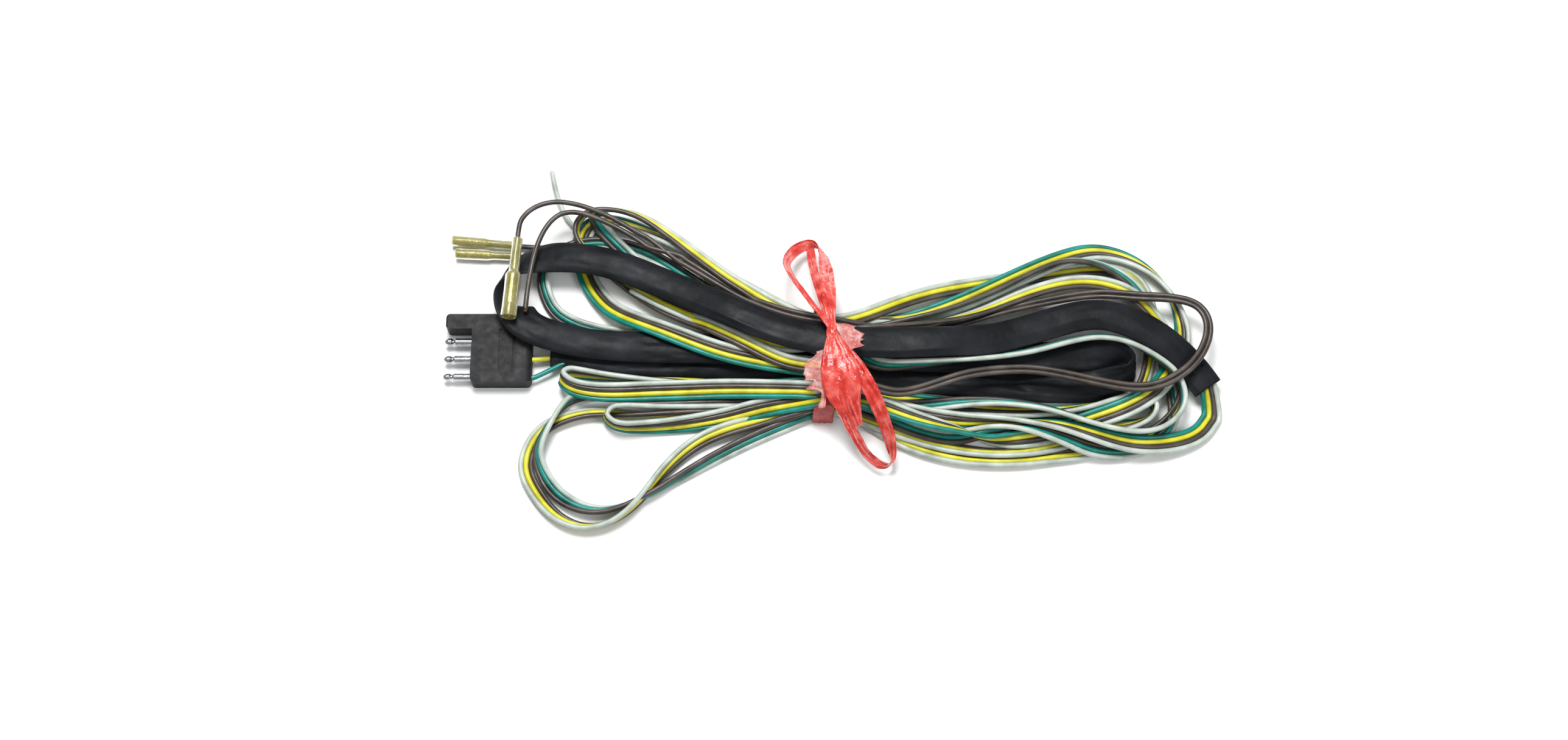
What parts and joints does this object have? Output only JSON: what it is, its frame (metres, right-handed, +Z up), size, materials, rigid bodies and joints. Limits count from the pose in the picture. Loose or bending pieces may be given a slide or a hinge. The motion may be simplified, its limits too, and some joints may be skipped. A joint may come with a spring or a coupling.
{
  "type": "trailer wiring connector",
  "caption": "Flat four-way trailer plug with moulded body, bullet pins and a shrouded socket, on a sleeved wiring harness folded into a hank and held by a film tie.",
  "frame": {"origin": "under the middle of the moulded plug, on the surface that the harness lies on", "axes": "+Z up; the plug's contacts point along -X and its wires leave along +X; the shrouded socket is on the +Y side"},
  "size_m": [0.4212, 0.2096, 0.036],
  "materials": {
    "moulded_rubber": "matte, fine moulded grain",
    "carrier_plastic": "matte",
    "tinned_brass": "bright tin plating",
    "bright_pin": "polished",
    "white_pvc": "satin",
    "brown_pvc": "satin",
    "yellow_pvc": "satin",
    "green_pvc": "satin",
    "black_sleeve": "satin",
    "mixed_wires": "satin",
    "clear_vinyl": "glossy, translucent",
    "red_film": "glossy, crumpled, translucent"
  },
  "bodies": {
    "harness": {"connector_body": "moulded_rubber", "terminal_carrier": "carrier_plastic", "socket_terminal": "tinned_brass", "pin_brown": "bright_pin", "pin_yellow": "bright_pin", "pin_green": "bright_pin", "wire_white": "white_pvc", "wire_brown": "brown_pvc", "wire_yellow": "yellow_pvc", "wire_green": "green_pvc", "sleeve": "black_sleeve", "hank_left_north": "mixed_wires", "hank_left_south": "mixed_wires", "hank_waist": "mixed_wires", "hank_right_north": "mixed_wires", "hank_right_south": "mixed_wires", "stray_loop": "mixed_wires", "brown_loop": "brown_pvc", "lead_outer": "brown_pvc", "lead_inner": "brown_pvc", "lead_a": "brown_pvc", "lead_b": "brown_pvc", "ground_wire": "white_pvc", "receptacle_a": "tinned_brass", "receptacle_b": "tinned_brass", "receptacle_c": "tinned_brass", "tie_band": "red_film", "tie_knot": "red_film", "tie_bow_upper": "red_film", "tie_bow_lower": "red_film"},
    "shell_a": {"insulator_a": "clear_vinyl"},
    "shell_b": {"insulator_b": "clear_vinyl"},
    "shell_c": {"insulator_c": "clear_vinyl"}
  },
  "joints": [
    {"name": "shell_a_slide", "type": "slide", "parent": "harness", "child": "shell_a", "axis": [-0.9962, 0.0872, 0], "range_m": [0, 0.007]},
    {"name": "shell_b_slide", "type": "slide", "parent": "harness", "child": "shell_b", "axis": [-0.9986, 0.0523, 0], "range_m": [0, 0.007]},
    {"name": "shell_c_slide", "type": "slide", "parent": "harness", "child": "shell_c", "axis": [0.0698, 0.9975, 0.0087], "range_m": [0, 0.007]}
  ]
}
